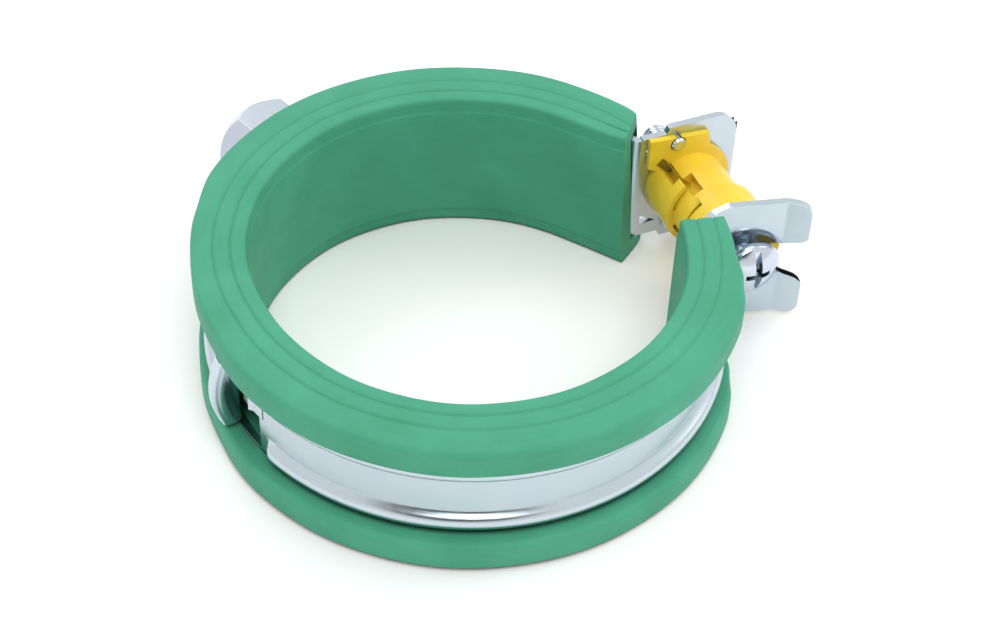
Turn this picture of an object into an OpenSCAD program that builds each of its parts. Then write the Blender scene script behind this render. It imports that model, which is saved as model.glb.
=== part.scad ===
// Rubber-lined two-part pipe clamp, hinged on one side and closed by one screw on the other.
// The pipe axis is +Z and the origin is the middle of the pipe bore. The fixing nut points to +Y,
// the hinge is on the -X side and the closing screw on the +X side. The front half is drawn
// slack, turned open about the hinge, as the clamp is before its screw is tightened.
// Lengths are in millimetres and angles in degrees.

/* [Pipe bore and lining] */
// Radius of the pipe seat in the rubber.
pipe_r = 35; // [20:0.5:80]
// Radial thickness of the rubber between the pipe and the steel band.
lining_t = 5.65; // [2:0.05:10]
// Width of the rubber lining along the pipe.
lining_w = 28; // [18:0.5:60]
// Thickness of the rubber lips folded over the outside of the band.
lip_t = 3.6; // [1:0.1:5]
// Free opening between the two rubber lips.
lip_gap = 15.6; // [8:0.1:30]
// Depth of the step between the pipe seat and the side shoulders.
shoulder_step = 0.7; // [0.1:0.05:3]
// Width of each side shoulder.
shoulder_w = 2.6; // [1:0.1:6]
// Radius of the round on the outer corners of the lining.
lip_round = 1.2; // [0.5:0.1:5]

/* [Steel band] */
// Thickness of the steel strip.
strip_t = 1.25; // [0.6:0.05:3]
// Width of the formed band.
band_w = 22; // [14:0.5:50]
// Distance of each stiffening bead from the middle of the band.
bead_z = 5.6; // [3:0.1:12]
// Width of one stiffening bead at its foot.
bead_w = 4; // [2:0.1:8]
// Height of the bead above the band.
bead_h = 1.5; // [0.4:0.1:2]

/* [Closure ears] */
// Place along the ring where the back band turns out into its ear.
back_end = 4.3; // [-20:0.1:40]
// Direction in which the back ear stands out.
back_ear_dir = -18.5; // [-60:0.5:20]
// Length of the back ear beyond its bend.
back_ear_len = 18.5; // [12:0.1:30]
// Straight distance between the two ends of the ring, with the clamp closed.
ring_gap = 19.74; // [10:0.01:40]
// Direction in which the forked front ear stands out, with the clamp closed.
front_ear_dir = -29.5; // [-70:0.5:0]
// Length of the flat part of the front ear.
front_ear_len = 12.4; // [8:0.1:25]
// Length of the flared tips of the fork.
tip_len = 4.2; // [1:0.1:8]
// Angle by which the fork tips flare away from the back ear.
tip_flare = 22; // [0:1:45]
// Height of both ears along the pipe axis.
ear_h = 25; // [16:0.5:50]
// Inside radius of the bends where band turns into ear.
bend_r = 1; // [0.5:0.1:3]
// Room that the screw has across the fork slot.
slot_play = 0.8; // [0.4:0.1:3]
// Widening of the slot at its open mouth.
mouth_flare = 2.2; // [0:0.1:6]
// Radius of the two outer corners of the back ear.
ear_corner = 4.5; // [1:0.1:8]

/* [Closing screw] */
// Outside diameter of the screw thread.
screw_d = 4.8; // [3:0.1:8]
// Length of the screw under its head.
screw_len = 38; // [25:0.5:70]
// Diameter of the pan head.
head_d = 9.8; // [6:0.1:16]
// Height of the pan head.
head_h = 3.5; // [2:0.1:6]
// Height of the underside of the head above the front ear, with the clamp slack.
head_above = 1.07; // [0:0.01:5]
// Direction in which the screw points.
screw_dir = 72; // [50:0.5:110]

/* [Plastic retainer] */
// Radius of the retainer drum.
drum_r = 6.4; // [5:0.1:10]
// Distance from the back ear to the end of the drum.
drum_end = 12.2; // [8:0.1:25]
// Outside radius of the sliding collar.
collar_r = 7.6; // [6:0.1:12]
// Distance from the back ear to the rim of the sliding collar.
collar_rim = 11.8; // [8:0.1:24]
// Outside radius of the curved wall on the ring side of the drum.
wall_r = 7.9; // [6:0.1:12]
// Height of the curved wall above the back ear.
wall_h = 8.4; // [4:0.1:16]
// Thickness of the flange on the back ear.
flange_t = 1.1; // [0.6:0.1:2]
// Height of the flange along the pipe axis.
flange_h = 22.6; // [14:0.1:40]

/* [Fixing nut] */
// Width across the flats of the fixing nut.
nut_af = 16; // [10:0.5:30]
// Height of the fixing nut above the band.
nut_h = 13.6; // [8:0.1:60]
// Distance by which the fixing nut sits towards the hinge.
nut_side = 2; // [0:0.1:6]
// Bore of the larger thread.
thread_big = 10.2; // [5:0.1:16]
// Bore of the smaller thread under it.
thread_small = 8.5; // [4:0.1:12]
// Depth of the larger thread.
thread_step = 6; // [3:0.5:15]

/* [Hinge] */
// Place along the ring of the hinge axis.
hinge_at = 169.1; // [150:0.1:200]
// Slack opening of the front half about the hinge.
slack = 3; // [0:0.1:8]
// Inside radius of the curl on the back band.
curl_r = 0.95; // [0.6:0.05:2]
// Height of the curl along the pipe axis.
curl_h = 14.4; // [8:0.1:20]
// Length along the ring of the window in the front band, in degrees.
window_arc = 11; // [4:0.5:20]

/* [Hidden] */
$fn = 96;
eps = 0.01;
// Pieces of one strip run into one another by a small angle, each a hair inside the last.
joint_lap = 1.5;
skin = 0.01;
// Running gap between parts that move on one another.
gap = 0.3;
band_in = pipe_r + lining_t;
band_out = band_in + strip_t;
lining_out = band_out + lip_t;
bend_out = bend_r + strip_t;
curl_out = curl_r + strip_t;
// The curl leaves the band as a smooth line, so the hinge axis lies one curl radius outside it.
hinge_r = band_out + curl_r;
hinge_x = hinge_r*cos(hinge_at);
hinge_y = hinge_r*sin(hinge_at);
bar_r = curl_r - gap;
// Thin webs hold the hinge bar, halfway between the ends of the curl and the rubber lips.
web_z = (curl_h + lip_gap)/4;
web_t = (lip_gap - curl_h)/2 - 0.2;
bar_end = web_z + web_t/2;
arm_w = band_w/2 - 0.1 - web_z;
// The flat ring left without beads on each side of the hinge.
bead_stop_back = hinge_at - 8;
bead_stop_front = hinge_at + 14;
bead_rad = (bead_w*bead_w/4 + bead_h*bead_h)/(2*bead_h);
bead_c = band_out + bead_h - bead_rad;
// Room that the side arms of the hinge have in the pocket of the lining.
arm_play = 0.2;
// The inner face of the back lining runs out straight from here to its end, which is cut on a
// slant from the tip at its inner edge outwards.
run_out_at = 18;
tip_r = pipe_r + 1.9;
tip_at = -1.2;
end_slant = 33;
front_end = back_end - 2*asin(ring_gap/2/band_in);
front_rubber_end = front_end - 3.4;
// Start of the flat of the back ear, where the closing hardware is laid out from.
back_cx = (band_in + bend_out)*cos(back_end);
back_cy = (band_in + bend_out)*sin(back_end);
ear_x = back_cx + bend_out*sin(back_ear_dir);
ear_y = back_cy - bend_out*cos(back_ear_dir);
// How far out along the back ear the screw passes.
screw_out = 9.2;
screw_x = ear_x + screw_out*cos(back_ear_dir);
screw_y = ear_y + screw_out*sin(back_ear_dir);
rivet_out = 6.4;
rivet_z = 9.4;
rivet_d = 2.6;
// Start of the flat of the front ear, with the clamp closed and with the clamp slack.
front_cx = (band_out + bend_r)*cos(front_end) - bend_r*sin(front_ear_dir);
front_cy = (band_out + bend_r)*sin(front_end) + bend_r*cos(front_ear_dir);
slack_dx = front_cx - hinge_x;
slack_dy = front_cy - hinge_y;
slack_cx = hinge_x + slack_dx*cos(slack) + slack_dy*sin(slack);
slack_cy = hinge_y - slack_dx*sin(slack) + slack_dy*cos(slack);
// How far out along the front ear the screw passes, measured with the clamp closed.
fork_out = ((screw_x - front_cx)*sin(screw_dir) - (screw_y - front_cy)*cos(screw_dir))
    /sin(screw_dir - front_ear_dir) - 0.01;
// Distance along the screw from the back ear to the underside of the head.
head_seat = ((screw_x - slack_cx)*sin(front_ear_dir - slack)
    - (screw_y - slack_cy)*cos(front_ear_dir - slack))
    /sin(front_ear_dir - slack - screw_dir) + head_above;
slot_w = screw_d + slot_play;
mouth_w = slot_w + mouth_flare;
nut_top = band_out + nut_h;
ear_nut_t = 4;
ear_nut_af = 8;
dish_r = 7.2;
dish_floor_r = 5.3;
dish_depth = 0.8;
// Slant of the collar end, nearly parallel to the front ear.
collar_slant = 12;
collar_end = 19.8;
collar_wall = 17.4;
// Length over which the collar is cut away to pass the curved wall when the clamp is closed.
collar_pass = wall_h + 5.4 - collar_rim;
wall_t = 1;
head_dome = 7.2;

// Disc of the retainer flange.
disc_r = drum_r + 1.6;

// Notch in the lips that lets the fixing nut through.
notch_h = nut_af/2 - lip_gap/2 + 0.6;
notch_arc = asin((nut_af/cos(30)/2 - lip_gap/2*tan(30) + 0.9)/band_out);
notch_at = 90 + asin(nut_side/band_out);

green = [0.20, 0.55, 0.40];
zinc = [0.78, 0.80, 0.84];
yellow = [0.98, 0.80, 0.08];

// A part of a ring from angle a to angle b, from a flat section drawn at radius and height.
module arc_of(a, b) {
    rotate([0, 0, a]) rotate_extrude(angle = b - a) children();
}

// The front half is drawn closed and turned open by the slack.
module front_pose() {
    translate([hinge_x, hinge_y, 0]) rotate([0, 0, -slack]) translate([-hinge_x, -hinge_y, 0])
        children();
}

// Local frame of the back ear: x runs out along it, y is its thickness, away from the front ear.
module at_back_ear() {
    translate([ear_x, ear_y, 0]) rotate([0, 0, back_ear_dir]) children();
}

// Local frame of the front ear, drawn closed: x runs out along it and its outer face is y = 0.
module at_front_ear() {
    translate([front_cx, front_cy, 0]) rotate([0, 0, front_ear_dir]) children();
}

// Local frame of the screw: z runs from the back ear to the head, x outwards, y along the pipe.
module at_screw() {
    translate([screw_x, screw_y, 0]) rotate([0, 0, screw_dir - 90]) rotate([90, 0, 0]) children();
}

// The plain strip, drawn a hair thin so that it runs cleanly into the beaded strip.
module flat_section(w = band_w) {
    translate([band_in + skin, -w/2 + skin]) square([strip_t - 2*skin, w - 2*skin]);
}

module bead_section() {
    difference() {
        union() {
            translate([band_in, -band_w/2]) square([strip_t, band_w]);
            for (s = [-1, 1]) intersection() {
                translate([bead_c, s*bead_z]) circle(r = bead_rad);
                translate([band_in, s*bead_z - bead_w/2]) square([strip_t + bead_h + 1, bead_w]);
            }
        }
        for (s = [-1, 1]) {
            translate([bead_c, s*bead_z]) circle(r = bead_rad - strip_t);
            translate([band_in - eps, s*bead_z - bead_rad + strip_t])
                square([bead_c - band_in + eps, 2*(bead_rad - strip_t)]);
        }
    }
}

// Everything the band fills on its outer side, used to seat the nut and the lining on it.
module band_envelope() {
    translate([band_in, -band_w/2]) square([strip_t, band_w]);
    for (s = [-1, 1]) intersection() {
        translate([bead_c, s*bead_z]) circle(r = bead_rad);
        translate([band_in, s*bead_z - bead_w/2]) square([strip_t + bead_h + 1, bead_w]);
    }
}

module lining_section() {
    hw = lining_w/2;
    difference() {
        translate([pipe_r, -hw]) square([lining_out - pipe_r, lining_w]);
        for (s = [-1, 1]) {
            // side shoulder beside the pipe seat
            translate([pipe_r - eps, s*(hw - shoulder_w/2) - shoulder_w/2])
                square([shoulder_step + eps, shoulder_w + (s > 0 ? eps : 0)]);
            // round outer corner of the lip
            translate([lining_out - lip_round, s*(hw - lip_round)]) difference() {
                translate([0, s > 0 ? 0 : -lip_round - eps]) square(lip_round + eps);
                circle(r = lip_round);
            }
            // fine groove round the side face
            translate([pipe_r + 5.8, s*hw]) circle(r = 0.35);
            // light relief on the edge of the lip towards the band
            translate([lining_out - 0.5, s*lip_gap/2 - 0.5]) rotate([0, 0, s*45])
                square(0.7);
        }
        // pocket for the band and the opening between the lips
        translate([band_in, -band_w/2]) square([strip_t, band_w]);
        translate([band_out - eps, -lip_gap/2]) square([lip_t + 1, lip_gap]);
    }
}

module bend_sector(x, y, a, b) {
    translate([x, y, 0]) rotate([0, 0, a]) rotate_extrude(angle = b - a)
        translate([bend_r + 2*skin, -band_w/2 + 2*skin])
            square([strip_t - 4*skin, band_w - 4*skin]);
}

// A flat plate standing on edge with its two outer corners rounded.
module ear_plate(x0, x1, h, r) {
    rotate([90, 0, 0]) translate([0, 0, -strip_t]) linear_extrude(height = strip_t) {
        translate([x0, -h/2]) square([x1 - x0 - r, h]);
        translate([x1 - r - eps, -h/2 + r]) square([r + eps, h - 2*r]);
        for (s = [-1, 1]) translate([x1 - r, s*(h/2 - r)]) circle(r = r);
    }
}

// A hole through the back ear and whatever lies on it, in the frame of the ear.
module through_ear(x, z, d, y0 = -6, y1 = 8) {
    translate([x, y0, z]) rotate([-90, 0, 0]) cylinder(d = d, h = y1 - y0);
}

module back_band() {
    color(zinc) difference() {
        union() {
            arc_of(back_end + 2.5, bead_stop_back) bead_section();
            arc_of(back_end, back_end + 2.5 + joint_lap) flat_section();
            // plain end, cut narrow and rolled outwards into the curl
            difference() {
                arc_of(bead_stop_back - joint_lap, hinge_at) flat_section();
                for (s = [-1, 1]) arc_of(hinge_at - 4, hinge_at + 2)
                    translate([band_in - 1, s*(curl_h/2 + 4) - 4]) square([4, 8]);
            }
            translate([hinge_x, hinge_y, 0]) rotate([0, 0, hinge_at + 180 - 215])
                rotate_extrude(angle = 215 + joint_lap)
                    translate([curl_r + 2*skin, -curl_h/2 + skin])
                        square([strip_t - 4*skin, curl_h - 2*skin]);
            bend_sector(back_cx, back_cy, 180 + back_end - joint_lap,
                        270 + back_ear_dir + joint_lap);
            at_back_ear() {
                ear_plate(0, 6, band_w, eps);
                ear_plate(5, back_ear_len, ear_h, ear_corner);
            }
        }
        at_screw() translate([0, 0, -9]) cylinder(d = screw_d + 1, h = 14);
        at_back_ear() {
            for (s = [-1, 1]) {
                through_ear(rivet_out, s*rivet_z, rivet_d);
                // small three-cornered relief where a bead runs out into the ear
                rotate([90, 0, 0]) translate([0, 0, -strip_t - 1])
                    linear_extrude(height = strip_t + 2)
                        polygon([[0.7, s*6.7], [0.7, s*8.6], [3.9, s*8.4]]);
            }
        }
    }
}

module back_lining() {
    color(green) difference() {
        arc_of(tip_at - 4, hinge_at - 0.25) lining_section();
        // straight run-out of the pipe seat and of its shoulders
        rotate([0, 0, run_out_at]) {
            translate([0, -40, -lining_w/2 - 1]) cube([pipe_r, 40, lining_w + 2]);
            for (s = [-1, 1]) translate([0, -40, s*lining_w/2 - shoulder_w])
                cube([pipe_r + shoulder_step, 40, 2*shoulder_w]);
        }
        // slanted end
        translate([tip_r*cos(tip_at), tip_r*sin(tip_at), 0]) rotate([0, 0, end_slant])
            translate([-20, -20, -lining_w/2 - 1]) cube([40, 20, lining_w + 2]);
        // room for the curl of the hinge
        translate([hinge_x, hinge_y, -lip_gap/2 + eps])
            cylinder(r = curl_out + 0.2, h = lip_gap - 2*eps);
        // the lips are notched round the fixing nut
        for (s = [-1, 1]) arc_of(notch_at - notch_arc, notch_at + notch_arc)
            translate([band_out - gap, s*(lip_gap/2 + nut_af/2)/2 - notch_h/2])
                square([2*lip_t, notch_h]);
        // room for the bend into the back ear
        translate([back_cx, back_cy, 0]) rotate_extrude()
            translate([bend_r - 5*skin, -band_w/2 - 5*skin])
                square([strip_t + 10*skin, band_w + 10*skin]);
    }
}

// What the welded nut stands on: the band and its beads, and all inside them.
module under_nut() {
    cylinder(r = band_out, h = 3*ear_h, center = true);
    arc_of(60, 120) band_envelope();
}

module fixing_nut() {
    foot = band_out - 4;
    h = nut_top - foot;
    color(zinc) difference() {
        translate([-nut_side, 0, 0]) difference() {
            intersection() {
                translate([0, foot, 0]) rotate([-90, 0, 0])
                    cylinder(d = nut_af/cos(30), h = h, $fn = 6);
                // turned corners at the outer end
                translate([0, foot, 0]) rotate([-90, 0, 0])
                    cylinder(r1 = nut_af/2 - 0.4 + h*0.7, r2 = nut_af/2 - 0.4, h = h);
            }
            translate([0, foot - 1, 0]) rotate([-90, 0, 0])
                cylinder(d = thread_small, h = h + 2);
            translate([0, nut_top - thread_step, 0]) rotate([-90, 0, 0])
                cylinder(d = thread_big, h = thread_step + 1);
        }
        under_nut();
    }
}

module ear_nut() {
    color(zinc) difference() {
        at_screw() translate([-ear_nut_af/2, -ear_nut_af/2, -ear_nut_t - strip_t])
            cube([ear_nut_af, ear_nut_af, ear_nut_t + 1]);
        at_back_ear() translate([-5, -10, -20]) cube([40, 10 + strip_t, 40]);
        at_screw() translate([0, 0, -12]) cylinder(d = screw_d + 0.2, h = 24);
    }
}

module ear_rivets() {
    color(zinc) at_back_ear() for (s = [-1, 1]) {
        translate([rivet_out, -flange_t - 0.1, s*rivet_z]) rotate([-90, 0, 0])
            cylinder(d = rivet_d, h = flange_t + strip_t + 0.2);
        translate([rivet_out, strip_t, s*rivet_z]) rotate([-90, 0, 0])
            cylinder(d1 = rivet_d + 1.9, d2 = rivet_d + 0.7, h = 0.9);
        translate([rivet_out, -flange_t - 0.5, s*rivet_z]) rotate([-90, 0, 0])
            cylinder(d1 = rivet_d - 0.6, d2 = rivet_d, h = 0.45);
    }
}

// Sector of the retainer on its ring side, in the frame of the screw.
module ring_side(spread = 0) {
    polygon(concat([[0, 0]], [for (a = [128 - spread, 165, 210, 252 + spread])
                              2*wall_r*[cos(a), sin(a)]]));
}

module retainer_base() {
    color(yellow) difference() {
        union() {
            // flange that lies on the back ear: a disc under the drum, a broad tab round the
            // upper rivet and a narrow one beside the lower rivet
            at_back_ear() rotate([90, 0, 0]) linear_extrude(height = flange_t) {
                translate([screw_out, 0]) circle(r = disc_r);
                polygon([[0.9, 5.2], [screw_out, 0], [screw_out + 4, 5], [12.4, flange_h/2 - 1],
                         [0.9, flange_h/2]]);
                polygon([[screw_out, 0], [rivet_out + 1, -flange_h/2], [11.8, -flange_h/2 + 1],
                         [screw_out + 4, -5]]);
            }
            intersection() {
                at_screw() {
                    translate([0, 0, -3]) cylinder(r = drum_r, h = drum_end + 3);
                    // curved wall on the ring side of the drum, with a groove between them
                    translate([0, 0, -3]) intersection() {
                        difference() {
                            cylinder(r = wall_r, h = wall_h + 3);
                            translate([0, 0, -1]) cylinder(r = wall_r - wall_t, h = wall_h + 5);
                        }
                        linear_extrude(height = wall_h + 3) ring_side();
                    }
                    // web that carries the curved wall
                    translate([0.5 - wall_r, -2.4, -3]) cube([2.4, 3.2, wall_h + 3]);
                }
                at_back_ear() translate([-10, -30, -20]) cube([40, 30, 40]);
            }
        }
        at_screw() {
            translate([0, 0, -4]) cylinder(d = screw_d + 0.8, h = 30);
            // window in the drum
            rotate([0, 0, 120]) translate([drum_r - 2.2, -1.1, 5.4]) cube([4, 2.2, 4.6]);
            // groove beside the curved wall
            rotate([0, 0, 135]) translate([drum_r - 2.6, -0.9, -1]) cube([5, 1.8, 7.2]);
        }
        for (s = [-1, 1]) at_back_ear() through_ear(rivet_out, s*rivet_z, rivet_d + 0.3);
    }
}

module retainer_collar() {
    color(yellow) difference() {
        at_screw() difference() {
            translate([0, 0, collar_rim]) cylinder(r = collar_r, h = collar_end + 4 - collar_rim);
            // slanted end that faces the front ear
            translate([0, 0, collar_end]) rotate([0, -collar_slant, 0])
                translate([-20, -20, 0]) cube([40, 40, 20]);
            translate([0, 0, collar_rim - 1])
                cylinder(r = drum_r + gap, h = collar_wall - collar_rim + 1);
            translate([0, 0, collar_rim - 2]) cylinder(d = screw_d + 2*gap, h = 20);
            // cut-away that lets the collar pass the curved wall of the base
            translate([0, 0, collar_rim - 1])
                linear_extrude(height = collar_pass + 1) ring_side(3);
        }
    }
}

module closing_screw() {
    color(zinc) at_screw() difference() {
        union() {
            translate([0, 0, head_seat - screw_len + 0.8])
                cylinder(d = screw_d, h = screw_len - 0.8 + eps);
            translate([0, 0, head_seat - screw_len])
                cylinder(d1 = screw_d - 1.4, d2 = screw_d, h = 0.8 + eps);
            // pan head: a short barrel closed by a dome
            intersection() {
                translate([0, 0, head_seat]) cylinder(d = head_d, h = head_h);
                translate([0, 0, head_seat + head_h - head_dome]) sphere(r = head_dome);
            }
        }
        // driver recess: a broad slot crossed by a narrower one
        translate([0, 0, head_seat + head_h - 1.6]) {
            translate([-0.65, -head_d/2 - 1, 0]) cube([1.3, head_d + 2, 3]);
            translate([-2.5, -0.5, -0.4]) cube([5, 1, 3]);
        }
    }
}

module front_band() {
    hinge_free = hinge_at + 2.6;
    color(zinc) front_pose() union() {
        difference() {
            union() {
                arc_of(bead_stop_front, 360 + front_end - 2.5) bead_section();
                arc_of(hinge_free, bead_stop_front + joint_lap) flat_section();
                arc_of(360 + front_end - 2.5 - joint_lap, 360 + front_end) flat_section();
            }
            // window through which the curl of the back band reaches the bar
            arc_of(hinge_at - 3, hinge_at + window_arc)
                translate([band_in - 1, -web_z]) square([4, 2*web_z]);
        }
        // side arms that carry the hinge bar
        for (s = [-1, 1]) {
            arc_of(hinge_at - 0.6, hinge_free + 0.5)
                translate([band_in + arm_play, s*(web_z + arm_w/2) - arm_w/2])
                    square([strip_t - 2*arm_play, arm_w]);
            translate([hinge_x, hinge_y, s*web_z - web_t/2]) cylinder(r = bar_r + 0.7, h = web_t);
        }
        translate([hinge_x, hinge_y, -bar_end]) cylinder(r = bar_r, h = 2*bar_end);
        // short tongue set back in the window
        arc_of(hinge_at + 4.5, hinge_at + window_arc + 0.5)
            translate([band_in + 3*skin, 0.5]) square([0.6, 6.4]);
        // bend into the forked ear
        bend_sector((band_out + bend_r)*cos(front_end), (band_out + bend_r)*sin(front_end),
                    90 + front_ear_dir - joint_lap, 180 + front_end + joint_lap);
        at_front_ear() front_ear();
    }
}

// Forked ear in its own frame: flat plate, pressed dish, slot and flared tips.
module front_ear() {
    difference() {
        union() {
            ear_plate(0, 2.5, band_w, eps);
            rotate([90, 0, 0]) translate([0, 0, -strip_t]) linear_extrude(height = strip_t)
                translate([2, -ear_h/2]) square([front_ear_len - 2, ear_h]);
            translate([front_ear_len, 0, 0]) rotate([0, 0, -tip_flare])
                ear_plate(-0.2, tip_len, ear_h, 2.6);
            // back of the pressed dish
            translate([fork_out, 0, 0]) rotate([-90, 0, 0])
                cylinder(r1 = dish_r + 0.3, r2 = dish_floor_r + 0.5, h = dish_depth + strip_t);
        }
        // hollow of the dish
        translate([fork_out, -eps, 0]) rotate([-90, 0, 0])
            cylinder(r1 = dish_r, r2 = dish_floor_r, h = dish_depth + eps);
        // slot, widening to its mouth
        rotate([90, 0, 0]) translate([0, 0, -6]) linear_extrude(height = 12) {
            translate([fork_out - 0.4, 0]) circle(d = slot_w);
            translate([fork_out - 0.4, -slot_w/2]) square([front_ear_len - fork_out, slot_w]);
            polygon([[front_ear_len - 1.5, -slot_w/2], [front_ear_len + 1, -mouth_w/2],
                     [front_ear_len + 9, -mouth_w/2], [front_ear_len + 9, mouth_w/2],
                     [front_ear_len + 1, mouth_w/2], [front_ear_len - 1.5, slot_w/2]]);
        }
    }
}

module front_lining() {
    color(green) front_pose() difference() {
        arc_of(hinge_at + 0.25, 360 + front_rubber_end) lining_section();
        translate([hinge_x, hinge_y, -lip_gap/2 + eps])
            cylinder(r = curl_out + 0.4, h = lip_gap - 2*eps);
    }
}

back_band();
back_lining();
fixing_nut();
ear_nut();
ear_rivets();
retainer_base();
retainer_collar();
closing_screw();
front_band();
front_lining();
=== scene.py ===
import bmesh
import bpy
import math
from mathutils import Matrix, Vector


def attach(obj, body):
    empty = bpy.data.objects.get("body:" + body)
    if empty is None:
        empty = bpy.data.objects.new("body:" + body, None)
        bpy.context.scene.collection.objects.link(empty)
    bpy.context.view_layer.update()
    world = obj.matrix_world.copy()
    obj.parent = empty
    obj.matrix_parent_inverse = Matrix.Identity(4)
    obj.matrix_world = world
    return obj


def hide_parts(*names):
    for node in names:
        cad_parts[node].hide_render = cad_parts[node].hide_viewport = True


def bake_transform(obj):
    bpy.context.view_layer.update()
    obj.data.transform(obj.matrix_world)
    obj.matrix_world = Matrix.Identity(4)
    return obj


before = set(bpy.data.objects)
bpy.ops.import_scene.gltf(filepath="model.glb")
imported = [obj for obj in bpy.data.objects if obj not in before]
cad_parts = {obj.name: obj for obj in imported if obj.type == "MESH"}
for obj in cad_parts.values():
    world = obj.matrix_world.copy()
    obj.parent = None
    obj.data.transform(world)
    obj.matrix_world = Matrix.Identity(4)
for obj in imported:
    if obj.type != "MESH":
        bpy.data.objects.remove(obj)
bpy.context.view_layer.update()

MM = 0.001

# ---------------------------------------------------------------- sizes of the clamp, millimetres
PIPE_R = 35.0
BAND_IN, STRIP = 40.65, 1.25
BAND_OUT = BAND_IN + STRIP
BAND_MID = BAND_IN + STRIP / 2
LINING_OUT, HALF_W, LIP_GAP = 45.5, 14.0, 15.6
BEAD_Z, BEAD_H = 5.6, 1.5
HINGE_AT, SLACK = 169.1, 3.0
HINGE_R = BAND_OUT + 0.95
CURL_MID, CURL_HALF, CURL_BULGE = 1.0, 7.2, 2.0
BACK_END, BACK_DIR, BACK_LEN = 4.3, -18.5, 18.5
FRONT_END, FRONT_DIR, FRONT_LEN = -23.8, -29.5, 12.4
TIP_LEN, TIP_FLARE = 4.2, 22.0
EAR_CORNER, TIP_CORNER = 4.5, 2.6
BEND_IN = 1.0
BEND_OUT, BEND_MID = BEND_IN + STRIP, BEND_IN + STRIP / 2
EAR_HALF, EDGE_FROM = 12.5, 10.3
BACK_TIP, FRONT_RUBBER, RUN_OUT = -1.5, -27.2, 18.0
SCREW_OUT, SCREW_DIR = 9.2, 72.0
SCREW_D, SCREW_LEN, HEAD_D, HEAD_H, HEAD_SEAT = 4.8, 38.0, 10.3, 3.5, 24.4
FORK_OUT = 6.1
NUT_AT, NUT_ARC, NUT_HALF = 92.7, 7.6, 8.05


def polar(radius, degrees):
    a = math.radians(degrees)
    return (radius * math.cos(a), radius * math.sin(a))


HINGE = polar(HINGE_R, HINGE_AT)
HINGE_M = Matrix.Translation((HINGE[0] * MM, HINGE[1] * MM, 0))


def turned(x, y):
    """A point of the closed front half, turned open about the hinge."""
    a = math.radians(-SLACK)
    dx, dy = x - HINGE[0], y - HINGE[1]
    return (HINGE[0] + dx * math.cos(a) - dy * math.sin(a),
            HINGE[1] + dx * math.sin(a) + dy * math.cos(a))


def smooth(t):
    """Runs from 0 to 1 with level ends."""
    t = min(1.0, max(0.0, t))
    return t * t * (3 - 2 * t)


def plan_frame(x, y, degrees):
    """Upright frame at a plan point: X along the given direction, Z up."""
    return Matrix.Translation((x * MM, y * MM, 0)) @ Matrix.Rotation(math.radians(degrees), 4, "Z")


def ear_start(centre_r, end, direction, bend):
    """Where the flat of an ear starts, past a bend; a negative radius bends the other way."""
    cx, cy = polar(centre_r, end)
    a = math.radians(direction)
    return (cx + bend * math.sin(a), cy - bend * math.cos(a))


EAR = ear_start(BAND_IN + BEND_OUT, BACK_END, BACK_DIR, BEND_OUT)
FORK = ear_start(BAND_OUT + BEND_IN, FRONT_END, FRONT_DIR, -BEND_IN)
EAR_M = plan_frame(*EAR, BACK_DIR)
FORK_M = plan_frame(*turned(*FORK), FRONT_DIR - SLACK)
SCREW_AT = (EAR[0] + SCREW_OUT * math.cos(math.radians(BACK_DIR)),
            EAR[1] + SCREW_OUT * math.sin(math.radians(BACK_DIR)))
# Screw frame: Z from the back ear to the head, X outwards, Y along the pipe.
SCREW_M = plan_frame(*SCREW_AT, SCREW_DIR - 90) @ Matrix.Rotation(math.radians(90), 4, "X")


# ---------------------------------------------------------------- mesh helpers
def new_object(name, verts, faces, matrix=None, sharp=32):
    mesh = bpy.data.meshes.new(name)
    mesh.from_pydata([(x * MM, y * MM, z * MM) for x, y, z in verts], [], faces)
    if matrix is not None:
        mesh.transform(matrix)
    mesh.validate()
    obj = bpy.data.objects.new(name, mesh)
    bpy.context.scene.collection.objects.link(obj)
    shade(obj, sharp)
    return obj


def shade(obj, sharp=32):
    mesh = obj.data
    mesh.polygons.foreach_set("use_smooth", [True] * len(mesh.polygons))
    mesh.set_sharp_from_angle(angle=math.radians(sharp))
    mesh.update()


def outward(obj):
    """Makes every face of a closed mesh look outwards."""
    bm = bmesh.new()
    bm.from_mesh(obj.data)
    bmesh.ops.recalc_face_normals(bm, faces=bm.faces)
    bm.to_mesh(obj.data)
    bm.free()
    return obj


def grid_faces(nu, nv, close_u=False, close_v=False):
    faces = []
    for i in range(nu if close_u else nu - 1):
        for j in range(nv if close_v else nv - 1):
            a, b = i * nv + j, i * nv + (j + 1) % nv
            k = (i + 1) % nu
            faces.append((a, b, k * nv + (j + 1) % nv, k * nv + j))
    return faces


def tube(name, rings, matrix=None, sharp=32):
    """Closed solid from rings of points, capped at both ends."""
    n = len(rings[0])
    verts = [p for ring in rings for p in ring]
    faces = grid_faces(len(rings), n, close_v=True)
    faces.append(tuple(range(n))[::-1])
    last = (len(rings) - 1) * n
    faces.append(tuple(range(last, last + n)))
    return outward(new_object(name, verts, faces, matrix, sharp))


def turning(name, profile, matrix=None, n=96, sharp=32):
    """Solid of revolution about Z from (radius, height) points, capped at both ends."""
    rings = [[(r * math.cos(2 * math.pi * i / n), r * math.sin(2 * math.pi * i / n), z)
              for i in range(n)] for r, z in profile]
    return tube(name, rings, matrix, sharp)


def slab(name, outline, y0, y1, matrix=None, sharp=32):
    """Plate with an outline in X and Z, standing between y0 and y1."""
    return tube(name, [[(x, y0, z) for x, z in outline], [(x, y1, z) for x, z in outline]],
                matrix, sharp)


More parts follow.
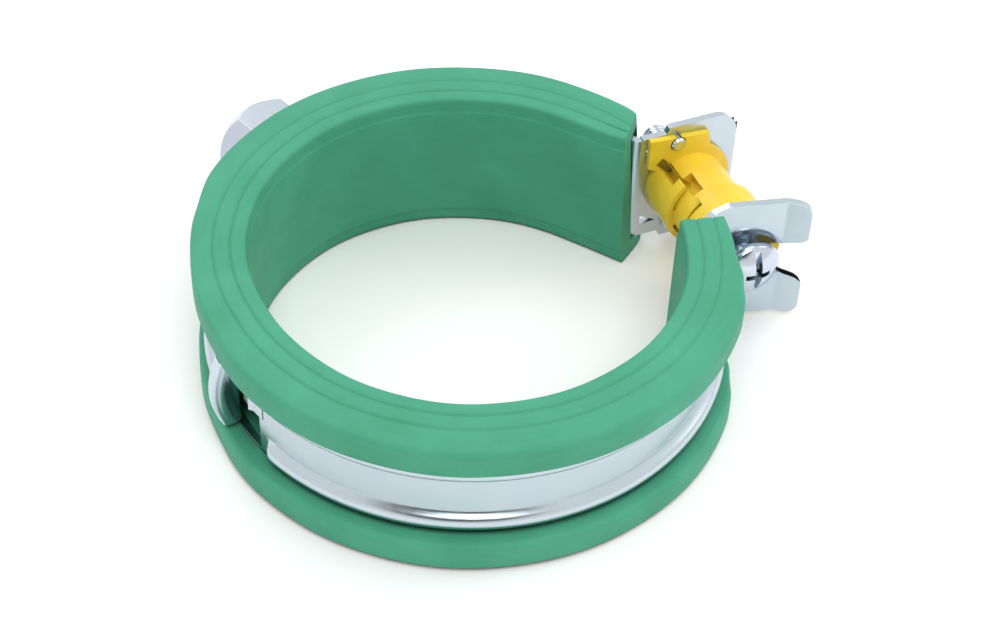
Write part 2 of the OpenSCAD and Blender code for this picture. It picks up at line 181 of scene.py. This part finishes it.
def cut(obj, cutter, sharp=32):
    mod = obj.modifiers.new("cut", "BOOLEAN")
    mod.operation, mod.object, mod.solver = "DIFFERENCE", cutter, "EXACT"
    evaluated = obj.evaluated_get(bpy.context.evaluated_depsgraph_get())
    mesh = bpy.data.meshes.new_from_object(evaluated)
    obj.modifiers.clear()
    old, obj.data = obj.data, mesh
    bpy.data.meshes.remove(old)
    bpy.data.objects.remove(cutter)
    shade(obj, sharp)


def join(obj, others, sharp=32):
    bm = bmesh.new()
    for o in [obj] + others:
        bm.from_mesh(o.data)
    bm.to_mesh(obj.data)
    bm.free()
    for o in others:
        bpy.data.objects.remove(o)
    shade(obj, sharp)


def round_points(cx, cz, r, first, last, n):
    """Points on a circle from one angle to another."""
    angles = [math.radians(first + (last - first) * i / (n - 1)) for i in range(n)]
    return [(cx + r * math.cos(a), cz + r * math.sin(a)) for a in angles]


# ---------------------------------------------------------------- materials
class Nodes:
    """Short names for building a node material."""

    def __init__(self, name):
        self.mat = bpy.data.materials.new(name)
        self.mat.use_nodes = True
        self.tree = self.mat.node_tree
        self.bsdf = self.tree.nodes["Principled BSDF"]
        self.coord = self.add("ShaderNodeTexCoord").outputs["Object"]

    def add(self, kind, **values):
        node = self.tree.nodes.new(kind)
        for key, value in values.items():
            setattr(node, key, value)
        return node

    def link(self, a, b):
        self.tree.links.new(a, b)

    def put(self, socket, value):
        if hasattr(value, "is_output"):
            self.link(value, socket)
        else:
            socket.default_value = value

    def math(self, op, a, b=0.0):
        node = self.add("ShaderNodeMath", operation=op)
        self.put(node.inputs[0], a)
        self.put(node.inputs[1], b)
        return node.outputs[0]

    def noise(self, scale, detail=3.0, rough=0.5, vector=None):
        node = self.add("ShaderNodeTexNoise")
        self.put(node.inputs["Vector"], vector or self.coord)
        node.inputs["Scale"].default_value = scale
        node.inputs["Detail"].default_value = detail
        node.inputs["Roughness"].default_value = rough
        return node.outputs["Fac"]

    def ramp(self, fac, stops):
        node = self.add("ShaderNodeValToRGB")
        self.link(fac, node.inputs[0])
        el = node.color_ramp.elements
        while len(el) < len(stops):
            el.new(0.5)
        for e, (pos, col) in zip(el, stops):
            e.position = pos
            e.color = (*col, 1)
        return node.outputs[0]

    def mix(self, fac, a, b):
        node = self.add("ShaderNodeMix", data_type="RGBA")
        self.put(node.inputs[0], fac)
        for socket, value in ((node.inputs[6], a), (node.inputs[7], b)):
            self.put(socket, (*value, 1) if isinstance(value, tuple) else value)
        return node.outputs[2]

    def painted_crevice_shade(self, base, shade_colour, distance, dark_at, open_at):
        """Paints shade into deep corners, which take little light: where ambient occlusion is low
        the colour turns to the shade colour.
        """
        occlusion = self.add("ShaderNodeAmbientOcclusion", samples=6)
        occlusion.inputs["Distance"].default_value = distance
        lit_share = self.ramp(occlusion.outputs["AO"], [(dark_at, (0, 0, 0)), (open_at, (1, 1, 1))])
        return self.mix(lit_share, shade_colour, base)

    def span(self, fac, low, high):
        node = self.add("ShaderNodeMapRange")
        self.link(fac, node.inputs[0])
        node.inputs[3].default_value, node.inputs[4].default_value = low, high
        return node.outputs[0]

    def bump(self, height, strength, distance, normal=None):
        node = self.add("ShaderNodeBump")
        node.inputs["Strength"].default_value = strength
        node.inputs["Distance"].default_value = distance
        self.link(height, node.inputs["Height"])
        if normal is not None:
            self.link(normal, node.inputs["Normal"])
        return node.outputs[0]

    def soft_edge(self, radius):
        node = self.add("ShaderNodeBevel", samples=6)
        node.inputs["Radius"].default_value = radius
        return node.outputs[0]

    def around(self, along, across):
        """Coordinates that run round the pipe axis, for marks drawn out along the ring."""
        xyz = self.add("ShaderNodeSeparateXYZ")
        self.link(self.coord, xyz.inputs[0])
        x, y, z = xyz.outputs
        radius = self.math("SQRT", self.math("ADD", self.math("MULTIPLY", x, x),
                                             self.math("MULTIPLY", y, y)))
        angle = self.math("ARCTAN2", y, x)
        out = self.add("ShaderNodeCombineXYZ")
        self.link(self.math("MULTIPLY", radius, across), out.inputs[0])
        self.link(self.math("MULTIPLY", z, across), out.inputs[1])
        self.link(self.math("MULTIPLY", angle, along), out.inputs[2])
        return out.outputs[0]


def rubber_material():
    m = Nodes("green rubber")
    streak = m.noise(1.0, 4, 0.6, m.around(5.0, 1500.0))
    broad = m.noise(70.0, 3, 0.55)
    grain = m.noise(2600.0, 3, 0.6)
    base = m.ramp(broad, [(0.25, (0.030, 0.235, 0.128)), (0.75, (0.052, 0.312, 0.190))])
    base = m.mix(m.span(streak, 0.0, 0.22), base, (0.10, 0.40, 0.27))
    base = m.mix(m.span(grain, 0.0, 0.10), base, (0.18, 0.48, 0.36))
    # painted shade: a near-black green darkens the rubber's deep corners, creases and the pocket
    # behind the hinge
    base = m.painted_crevice_shade(base, (0.001, 0.008, 0.006), 0.006, 0.12, 0.50)
    m.link(base, m.bsdf.inputs["Base Color"])
    m.link(m.span(m.noise(400.0, 4, 0.6), 0.52, 0.70), m.bsdf.inputs["Roughness"])
    m.bsdf.inputs["Specular IOR Level"].default_value = 0.25
    n1 = m.bump(streak, 0.25, 0.00012)
    n2 = m.bump(m.noise(900.0, 4, 0.6), 0.16, 0.00015, n1)
    m.link(m.bump(grain, 0.18, 0.00004, n2), m.bsdf.inputs["Normal"])
    return m.mat


def zinc_material(name, rough=(0.16, 0.30), tint=(0.55, 0.62, 0.67)):
    m = Nodes(name)
    broad = m.noise(90.0, 3, 0.5)
    fine = m.noise(900.0, 5, 0.65)
    rolled = m.noise(1.0, 3, 0.6, m.around(3.0, 2600.0))
    base = m.ramp(broad, [(0.30, (tint[0] * 0.95, tint[1] * 0.97, tint[2])),
                          (0.50, tint), (0.70, (tint[0] * 0.93, tint[1] * 0.99, tint[2] * 0.97))])
    base = m.mix(m.span(fine, 0.0, 0.16), base, (0.42, 0.48, 0.56))
    # painted shade: a dark blue-grey darkens the steel's deep corners and narrow gaps
    base = m.painted_crevice_shade(base, (0.05, 0.09, 0.13), 0.0016, 0.15, 0.60)
    m.link(base, m.bsdf.inputs["Base Color"])
    m.bsdf.inputs["Metallic"].default_value = 1.0
    m.link(m.span(fine, *rough), m.bsdf.inputs["Roughness"])
    n1 = m.bump(rolled, 0.10, 0.00003, m.soft_edge(0.00012))
    m.link(m.bump(fine, 0.06, 0.00005, n1), m.bsdf.inputs["Normal"])
    return m.mat


def nylon_material():
    m = Nodes("yellow nylon")
    broad = m.noise(160.0, 3, 0.5)
    fine = m.noise(1800.0, 4, 0.6)
    base = m.ramp(broad, [(0.3, (0.72, 0.48, 0.018)), (0.7, (0.80, 0.57, 0.032))])
    m.link(m.mix(m.span(fine, 0.0, 0.14), base, (0.92, 0.66, 0.10)), m.bsdf.inputs["Base Color"])
    m.link(m.span(fine, 0.30, 0.44), m.bsdf.inputs["Roughness"])
    m.bsdf.inputs["Subsurface Weight"].default_value = 0.25
    m.bsdf.inputs["Subsurface Radius"].default_value = (0.0022, 0.0012, 0.0002)
    m.bsdf.inputs["Subsurface Scale"].default_value = 1.0
    m.link(m.bump(fine, 0.10, 0.00006, m.soft_edge(0.0003)), m.bsdf.inputs["Normal"])
    return m.mat


RUBBER = rubber_material()
ZINC = zinc_material("zinc plated strip")
BRIGHT = zinc_material("zinc plated screw", (0.12, 0.24), (0.58, 0.63, 0.70))
NYLON = nylon_material()


def finish_piece(obj, material, slot, *nodes):
    """Gives a piece its material, and puts it in place of the nodes named. The slot is not used.
    """
    obj.data.materials.clear()
    obj.data.materials.append(material)
    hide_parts(*nodes)


# ---------------------------------------------------------------- rubber lining
def lining_profile():
    """Closed outline of the lining: (radius, height), anticlockwise from the inner middle."""
    out, lip = LINING_OUT, LIP_GAP / 2
    upper = [(35.0, 0.0), (35.0, 3.0), (35.0, 6.0), (35.0, 9.0), (35.0, 10.9), (35.02, 11.1),
             (35.07, 11.2), (35.12, 11.2), (35.2, 11.3), (35.25, 11.5), (35.25, 12.6),
             (35.27, 13.3), (35.36, 13.66), (35.56, 13.88), (35.9, 13.98), (36.8, 14.0),
             (37.55, 13.98), (37.72, 13.88), (37.86, 13.72), (37.98, 13.72), (38.12, 13.88),
             (38.3, 13.97), (38.8, 14.0), (39.6, 14.0), (40.2, 13.99), (40.5, 13.93),
             (40.66, 13.80), (40.80, 13.72), (40.94, 13.80), (41.1, 13.9), (42.2, 13.92),
             (43.2, 13.86), (out - 1.5, 13.76)]
    upper += [(out - 1.1 + 1.1 * math.sin(math.radians(a)), 12.6 + 1.1 * math.cos(math.radians(a)))
              for a in range(8, 91, 9)]
    upper += [(out, 11.6), (out, lip + 1.6), (out - 0.04, lip + 0.9), (out - 0.18, lip + 0.45),
              (out - 0.45, lip + 0.16), (out - 0.9, lip + 0.02), (42.8, lip), (42.2, lip),
              (41.98, lip + 0.05), (41.93, lip + 0.3), (41.93, 9.6), (41.93, 11.02),
              (41.3, 11.04), (40.62, 11.02), (40.62, lip), (40.62, 4.0), (40.62, 0.0)]
    lower = [(r, -z) for r, z in upper[1:-1]]
    return upper + lower[::-1]


# The lips are the part of the lining beyond this radius.
LIP_FROM = 42
# How far the outside of the lips stands off a true circle: place along the ring, millimetres.
UNEVEN = ((-5, -0.7), (15, -0.4), (35, 0.0), (118, 0.0), (132, -0.8), (146, -1.2), (160, -0.8),
          (185, 0.0), (305, 0.0), (314, -1.0), (322, -2.1), (335, -2.4))


def lip_offset(at):
    for (a0, o0), (a1, o1) in zip(UNEVEN, UNEVEN[1:]):
        if at <= a1:
            return o0 + (o1 - o0) * smooth((at - a0) / (a1 - a0))
    return UNEVEN[-1][1]


def end_angle(r, z):
    """Place along the ring of the slanted back end of the lining, which is also cut askew."""
    high = (z + HALF_W) / (2 * HALF_W)
    inner, rim = BACK_TIP + 2.5 * high, 2.5 + 5.3 * high
    return inner + (rim - inner) * min(1.0, max(0.0, (r - 36.6) / (LINING_OUT - 36.6)))


def lining():
    profile = lining_profile()
    rings = []
    start, stop = BACK_TIP, 360.0 + FRONT_RUBBER
    count = 420
    for i in range(count + 1):
        at = start + (stop - start) * i / count
        opened = smooth((at - (HINGE_AT - 2.5)) / 5.0)
        near_back, near_front = at - start, stop - at
        pinch = math.exp(-(min(near_back, near_front) / 2.2) ** 2)
        ring = []
        for r, z in profile:
            # a moulded strip bent by hand is never quite round
            wave = (0.05 * math.sin(math.radians(5 * at + 40))
                    + 0.04 * math.sin(math.radians(13 * at)))
            rr = r + wave * (1 if r < 40 or r > LIP_FROM else 0.4)
            if r > LIP_FROM:
                rr += lip_offset(at) * (r - LIP_FROM) / (LINING_OUT - LIP_FROM) - 0.10 * pinch
            a = at
            if at < RUN_OUT and r < BAND_IN - 0.1:
                # the pipe seat runs out straight towards the back end
                away = PIPE_R / math.cos(math.radians(RUN_OUT - at)) - PIPE_R
                rr += away * min(1.0, (BAND_IN - 0.1 - r) / 4.2)
            if near_back < 12:
                a += (end_angle(rr, z) - start) * (1 - near_back / 12) ** 1.2
            if near_front < 6:
                a += 0.36 * (1 - near_front / 6) * ((r - 40) / 5) ** 2
            x, y = polar(rr, a)
            tx, ty = turned(x, y)
            ring.append((x + (tx - x) * opened, y + (ty - y) * opened, z))
        rings.append(ring)
    obj = tube("rubber_lining", rings, sharp=50)
    # notches in the lips round the fixing nut, and relief at the bend of the back ear
    for s in (-1, 1):
        near = [polar(41.6, NUT_AT + a) for a in (-NUT_ARC, -4, 0, 4, NUT_ARC)]
        far = [polar(47.5, NUT_AT + a) for a in (NUT_ARC, 0, -NUT_ARC)]
        cutter = tube("cutter", [[(x, y, s * NUT_HALF + dz) for x, y in near + far]
                                 for dz in (-0.5, 0.5)])
        cut(obj, cutter, sharp=50)
    bx, by = polar(BAND_IN + BEND_OUT, BACK_END)
    cut(obj, turning("cutter", [(BEND_OUT + 0.07, -11.1), (BEND_OUT + 0.07, 11.1)],
                     Matrix.Translation((bx * MM, by * MM, 0)), 48), sharp=50)
    # pocket behind the hinge, deeper towards the front half
    pocket = [polar(r, HINGE_AT + a) for r, a in ((48, -4), (48, 12.4), (38.2, 12.4), (37.4, 7),
                                                  (38.2, 1), (40.2, -4))]
    cut(obj, tube("cutter", [[(x, y, z) for x, y in pocket] for z in (-7.78, 7.78)]), sharp=50)
    finish_piece(obj, RUBBER, "lining", "back_lining", "front_lining")
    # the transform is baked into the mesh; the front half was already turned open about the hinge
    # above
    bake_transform(obj)


# ---------------------------------------------------------------- steel bands
def bead_height(dz):
    """Height of a stiffening bead at a distance from its middle."""
    x = abs(dz)
    if x < 1.5:
        return BEAD_H - (1.7 - math.sqrt(1.7 ** 2 - x * x))
    if x < 2.2:
        return 0.6 * ((2.2 - x) / 0.7) ** 2
    return 0.0


def bead_end(s, start, stop):
    """Share of the bead's full height at a place along the strip: its ends are round."""
    if not start < s < stop:
        return 0.0
    end = min(s - start, stop - s)
    return math.sqrt(max(0.0, 1 - max(0.0, 1 - end / 2.0) ** 2))


class Path:
    """Plan line of a strip's middle: position, heading and length so far at each station."""

    def __init__(self, x, y, heading):
        self.x, self.y, self.h, self.s = x, y, heading, 0.0
        self.rows = [(x, y, heading, 0.0)]

    def arc(self, radius, degrees, n):
        """Positive degrees turn left."""
        step = math.radians(degrees) / n
        for _ in range(n):
            chord = 2 * radius * math.sin(abs(step) / 2)
            self.h += step / 2
            self.x += chord * math.cos(self.h)
            self.y += chord * math.sin(self.h)
            self.h += step / 2
            self.s += radius * abs(step)
            self.rows.append((self.x, self.y, self.h, self.s))
        return self.s

    def line(self, length, n):
        for _ in range(n):
            self.x += length / n * math.cos(self.h)
            self.y += length / n * math.sin(self.h)
            self.s += length / n
            self.rows.append((self.x, self.y, self.h, self.s))
        return self.s


def strip(name, path, outer_side, half_width, relief, z_rows, opened=False, sharp=32):
    """Bent sheet of the strip's thickness along a plan path.
    outer_side is 1 when the outer face is left of the heading; half_width(s) is its half height;
    relief(s, z) is how far the sheet is pressed outwards there."""
    rings = []
    for x, y, h, s in path.rows:
        nx, ny = -math.sin(h) * outer_side, math.cos(h) * outer_side
        hw = half_width(s)
        zs = [max(-hw, min(hw, z)) if abs(z) < EDGE_FROM else math.copysign(
            EDGE_FROM + (abs(z) - EDGE_FROM) * (hw - EDGE_FROM) / (z_rows[-1] - EDGE_FROM), z)
            for z in z_rows]
        outer, inner = [], []
        for z in zs:
            add = relief(s, z)
            for side, off in ((outer, STRIP / 2 + add), (inner, -STRIP / 2 + add)):
                px, py = x + nx * off, y + ny * off
                if opened:
                    px, py = turned(px, py)
                side.append((px, py, z))
        rings.append(outer + inner[::-1])
    return tube(name, rings, sharp=sharp)


def band_rows():
    """Heights of the points across a band, with a zone at each edge that follows its outline."""
    n = int(EDGE_FROM / 0.35)
    middle = [EDGE_FROM * i / n for i in range(-n, n + 1)]
    edge = [EDGE_FROM + (EAR_HALF - EDGE_FROM) * k / 4 for k in (1, 2, 3, 4)]
    return [-z for z in edge[::-1]] + middle + edge


def even_rows(half, n=6):
    return [half * k / n for k in range(-n, n + 1)]


def ear_width(s, low, high, step_at, length, corner, step=0.6):
    """Half height of an ear: low at the root, high beyond the step, corners rounded."""
    hw = low + (high - low) * smooth((s - step_at + step / 2) / step)
    over = s - (length - corner)
    if over > 0:
        hw -= corner - math.sqrt(max(0.0, corner ** 2 - min(over, corner) ** 2))
    return hw


def rounded_line(path, length, corner):
    """A straight run with closer stations where the corner is rounded."""
    path.line(length - corner, max(2, int((length - corner) / 0.5)))
    for k in range(12):
        a0, a1 = math.pi / 2 * k / 12, math.pi / 2 * (k + 1) / 12
        path.line(corner * (math.sin(a1) - math.sin(a0)), 1)


def back_band():
    path = Path(*polar(BAND_MID, HINGE_AT - 4.0), math.radians(HINGE_AT - 4.0 - 90))
    arc_len = path.arc(BAND_MID, -(HINGE_AT - 4.0 - BACK_END), 230)
    root = path.arc(BEND_MID, 90 - BACK_END + BACK_DIR, 12)
    rounded_line(path, BACK_LEN, EAR_CORNER)
    bead_start = math.radians(4.0) * BAND_MID
    bead_stop = arc_len - 1.4

    def relief(s, z):
        return bead_height(abs(z) - BEAD_Z) * bead_end(s, bead_start, bead_stop)

    obj = strip("back_band_strip", path, 1,
                lambda s: 11.0 if s < root else ear_width(s - root, 11.2, EAR_HALF, 4.8, BACK_LEN,
                                                          EAR_CORNER),
                relief, band_rows())
    # curl of the hinge, on a narrower tongue
    curl = Path(*polar(HINGE_R - CURL_MID, HINGE_AT - 4.4), math.radians(HINGE_AT - 4.4 + 90))
    curl.arc(HINGE_R - CURL_MID, 4.4, 8)
    curl.arc(CURL_MID, -215, 36)
    tongue = strip("curl", curl, -1, lambda s: CURL_HALF,
                   lambda s, z: -0.45 * math.exp(-((s - 5.7) / 0.3) ** 2),
                   even_rows(CURL_HALF, 12))
    # the curl is pressed barrel shaped, proud of the band at its middle
    out_x, out_y = polar(1.0, HINGE_AT + 6)
    for v in tongue.data.vertices:
        r = math.hypot(v.co.x, v.co.y) / MM
        at = math.degrees(math.atan2(v.co.y, v.co.x))
        push = CURL_BULGE * (1 - (v.co.z / MM / 7.6) ** 2) * smooth((r - BAND_IN) / 3.0)
        push *= smooth((at - HINGE_AT + 3.4) / 1.6)
        v.co.x += push * out_x * MM
        v.co.y += push * out_y * MM
    through = turning("cutter", [(SCREW_D / 2 + 0.5, -7), (SCREW_D / 2 + 0.5, 4)], SCREW_M, 48)
    cut(obj, through)
    for s in (-1, 1):
        cut(obj, slab("cutter", [(0.7, s * 6.6), (0.8, s * 8.7), (3.9, s * 8.4)], -2, 3, EAR_M))
    join(obj, [tongue])
    finish_piece(obj, ZINC, "band", "back_band")
    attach(obj, "back_half")


def front_band():
    first = HINGE_AT + 11.0
    path = Path(*polar(BAND_MID, first), math.radians(first + 90))
    arc_len = path.arc(BAND_MID, 360 + FRONT_END - first, 220)
    root = path.arc(BEND_MID, -(90 - FRONT_DIR + FRONT_END), 16)
    path.line(FRONT_LEN - 0.6, 34)
    path.arc(1.6, -TIP_FLARE, 6)
    rounded_line(path, TIP_LEN, TIP_CORNER)
    total = path.s
    bead_start = math.radians(3.2) * BAND_MID
    bead_stop = arc_len - 1.4

    def relief(s, z):
        if s > root:
            from_screw = math.hypot(s - root - FORK_OUT, z)
            return -0.8 * (1 - smooth((from_screw - 5.2) / 2.0))
        return bead_height(abs(z) - BEAD_Z) * bead_end(s, bead_start, bead_stop)

    obj = strip("front_band_strip", path, -1,
                lambda s: ear_width(s - root, 11.0, EAR_HALF, 0.6, total - root, TIP_CORNER, 3.6),
                relief, band_rows(), opened=True)
    slot = round_points(FORK_OUT - 0.4, 0, 2.8, 270, 90, 24)
    edge = [(FRONT_LEN - 1.8, 2.8), (FRONT_LEN - 0.6, 3.1), (FRONT_LEN + 0.6, 3.6),
            (FRONT_LEN + 1.8, 3.85), (FRONT_LEN + 2.6, 4.1), (FRONT_LEN + 3.4, 4.7),
            (FRONT_LEN + 3.9, 5.6), (FRONT_LEN + 4.1, 6.6), (FRONT_LEN + 9, 6.6)]
    outline = slot[::-1] + [(x, -z) for x, z in edge] + [(x, z) for x, z in edge[::-1]]
    cut(obj, slab("cutter", outline, -5, 5, FORK_M))
    # hinge end: side arms, bar and the short tongue in the window
    parts = []
    for s in (-1, 1):
        arm = Path(*polar(BAND_MID, HINGE_AT - 1.2), math.radians(HINGE_AT - 1.2 + 90))
        arm.arc(BAND_MID, 12.4, 16)
        piece = strip("arm", arm, -1, lambda q: 1.6, lambda q, z: 0.0, [-1.6, -0.8, 0, 0.8, 1.6],
                      opened=True)
        for v in piece.data.vertices:
            v.co.z += s * 9.3 * MM
        parts.append(piece)
        parts.append(turning("web", [(1.3, s * 7.5 - 0.2), (1.3, s * 7.5 + 0.2)], HINGE_M, 32))
    parts.append(turning("bar", [(0.2, -7.7), (0.35, -7.6), (0.35, 7.6), (0.2, 7.7)], HINGE_M, 32))
    lip = Path(*polar(BAND_MID + 0.6, HINGE_AT + 4.9), math.radians(HINGE_AT + 4.9 + 90))
    lip.arc(BAND_MID + 0.6, 7.6, 24)
    ridge = strip("tongue", lip, -1, lambda q: 3.9,
                  lambda q, z: -0.45 + 0.5 * math.exp(-((q - 2.4) / 0.4) ** 2),
                  even_rows(3.9), opened=True)
    for v in ridge.data.vertices:
        v.co.z += 3.85 * MM
    parts.append(ridge)
    join(obj, parts)
    finish_piece(obj, ZINC, "band", "front_band")
    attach(obj, "front_half")


# ---------------------------------------------------------------- closing screw
def closing_screw():
    n, pitch, per_turn = 48, 0.8, 16
    tip = HEAD_SEAT - SCREW_LEN
    steps = int((SCREW_LEN - 0.6) / pitch * per_turn)
    rings = []
    for k in range(steps + 1):
        t = tip + (SCREW_LEN - 0.6) * k / steps
        ring = []
        for i in range(n):
            a = 2 * math.pi * i / n
            phase = ((t - tip) / pitch + i / n) % 1.0
            tooth = abs(2 * phase - 1)
            depth = 0.34 * min(1.0, max(0.0, (tooth - 0.08) / 0.84))
            r = SCREW_D / 2 - depth
            if t - tip < 1.0:
                r = min(r, 1.65 + 0.75 * (t - tip))
            ring.append((r * math.cos(a), r * math.sin(a), t))
        rings.append(ring)
    for r, t in ((2.05, HEAD_SEAT - 0.5), (2.05, HEAD_SEAT + 0.2)):
        rings.append([(r * math.cos(2 * math.pi * i / n), r * math.sin(2 * math.pi * i / n), t)
                      for i in range(n)])
    shank = tube("closing_screw_thread", rings, SCREW_M, sharp=40)
    dome, top = 7.2, HEAD_SEAT + HEAD_H
    side = math.sqrt(dome ** 2 - (HEAD_D / 2) ** 2) + top - dome
    prof = [(0.05, HEAD_SEAT), (HEAD_D / 2 - 0.35, HEAD_SEAT), (HEAD_D / 2 - 0.1, HEAD_SEAT + 0.1),
            (HEAD_D / 2, HEAD_SEAT + 0.35), (HEAD_D / 2, side - 0.35)]
    for k in range(15):
        z = side - 0.1 + (top - side + 0.1) * (1 - (1 - k / 14) ** 2)
        prof.append((max(0.05, math.sqrt(max(0.0, dome ** 2 - (z - top + dome) ** 2))) - (
            0.1 if k == 0 else 0.0), z))
    head = turning("head", prof, SCREW_M, 72)
    deep = top - 1.5
    cut(head, tube("cutter", [[(x, y, z) for x, y in
                               ((-0.6, -6), (0.6, -6), (0.6, 6), (-0.6, 6))]
                              for z in (deep, top + 2)], SCREW_M))
    cross = [(0.55, 0.55), (0.55, 2.3), (-0.55, 2.3), (-0.55, 0.55), (-2.5, 0.55), (-2.5, -0.55),
             (-0.55, -0.55), (-0.55, -2.3), (0.55, -2.3), (0.55, -0.55), (2.5, -0.55), (2.5, 0.55)]
    cut(head, tube("cutter", [[(x * 0.55, y * 0.55, deep - 0.9) for x, y in cross],
                              [(x, y, top + 0.2) for x, y in cross]], SCREW_M))
    join(shank, [head], 40)
    finish_piece(shank, BRIGHT, "hardware", "closing_screw")
    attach(shank, "screw")


lining()
back_band()
front_band()
closing_screw()
for node, material in (("fixing_nut", BRIGHT), ("ear_nut", BRIGHT), ("ear_rivets", BRIGHT),
                       ("retainer_base", NYLON), ("retainer_collar", NYLON)):
    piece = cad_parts[node]
    piece.data.materials.clear()
    piece.data.materials.append(material)
    shade(piece)

# ---------------------------------------------------------------- floor, light and camera
floor = bpy.data.objects.new("floor", bpy.data.meshes.new("floor"))
FLOOR_Z = -0.01405
floor.data.from_pydata([(x, y, FLOOR_Z) for x, y in ((-4, -4), (4, -4), (4, 4), (-4, 4))],
                       [], [(0, 1, 2, 3)])
bpy.context.scene.collection.objects.link(floor)
fm = Nodes("white floor")
fm.link(fm.ramp(fm.noise(3.0), [(0.3, (0.90, 0.90, 0.90)), (0.7, (0.94, 0.94, 0.94))]),
        fm.bsdf.inputs["Base Color"])
fm.bsdf.inputs["Roughness"].default_value = 0.9
floor.data.materials.append(fm.mat)

DARK_SIDE = (-0.487, -0.522, 0.700)
world = bpy.data.worlds.new("studio")
bpy.context.scene.world = world
world.use_nodes = True
# soft white room with one dark side, which the polished steel mirrors
sky = world.node_tree.nodes
towards = sky.new("ShaderNodeVectorMath")
towards.operation = "DOT_PRODUCT"
towards.inputs[1].default_value = DARK_SIDE
world.node_tree.links.new(sky.new("ShaderNodeTexCoord").outputs["Generated"], towards.inputs[0])
fall = sky.new("ShaderNodeMapRange")
fall.interpolation_type = "SMOOTHSTEP"
for socket, value in zip(fall.inputs[1:5], (0.86, 0.95, 1.0, 0.03)):
    socket.default_value = value
world.node_tree.links.new(towards.outputs["Value"], fall.inputs[0])
world.node_tree.links.new(fall.outputs[0], sky["Background"].inputs[1])
sky["Background"].inputs[0].default_value = (1.0, 1.0, 1.0, 1)


def area_light(name, at, size, power):
    data = bpy.data.lights.new(name, "AREA")
    data.shape, data.size, data.energy = "DISK", size, power
    obj = bpy.data.objects.new(name, data)
    obj.location = at
    obj.rotation_euler = (-Vector(at)).to_track_quat("-Z", "Y").to_euler()
    bpy.context.scene.collection.objects.link(obj)


area_light("key", (-0.25, -0.35, 0.75), 0.5, 3.5)
area_light("fill", (0.6, -0.25, 0.45), 0.4, 1.2)
area_light("back", (0.1, 0.7, 0.6), 0.5, 1.5)

cam_data = bpy.data.cameras.new("camera")
cam = bpy.data.objects.new("camera", cam_data)
bpy.context.scene.collection.objects.link(cam)
look = Vector((0.48688, 0.52211, -0.70025)).normalized()
level = look.cross(Vector((0, 0, 1))).normalized()
roll = math.radians(2.47)
right = level * math.cos(roll) + level.cross(look) * math.sin(roll)
up = right.cross(look)
cam.matrix_world = Matrix.Translation((-0.17069, -0.19247, 0.24784)) @ Matrix(
    (right, up, -look)).transposed().to_4x4()
cam_data.lens, cam_data.sensor_width = 76.75, 36.0
cam_data.clip_start, cam_data.clip_end = 0.01, 20
bpy.context.scene.camera = cam
bpy.context.scene.view_settings.view_transform = "Standard"
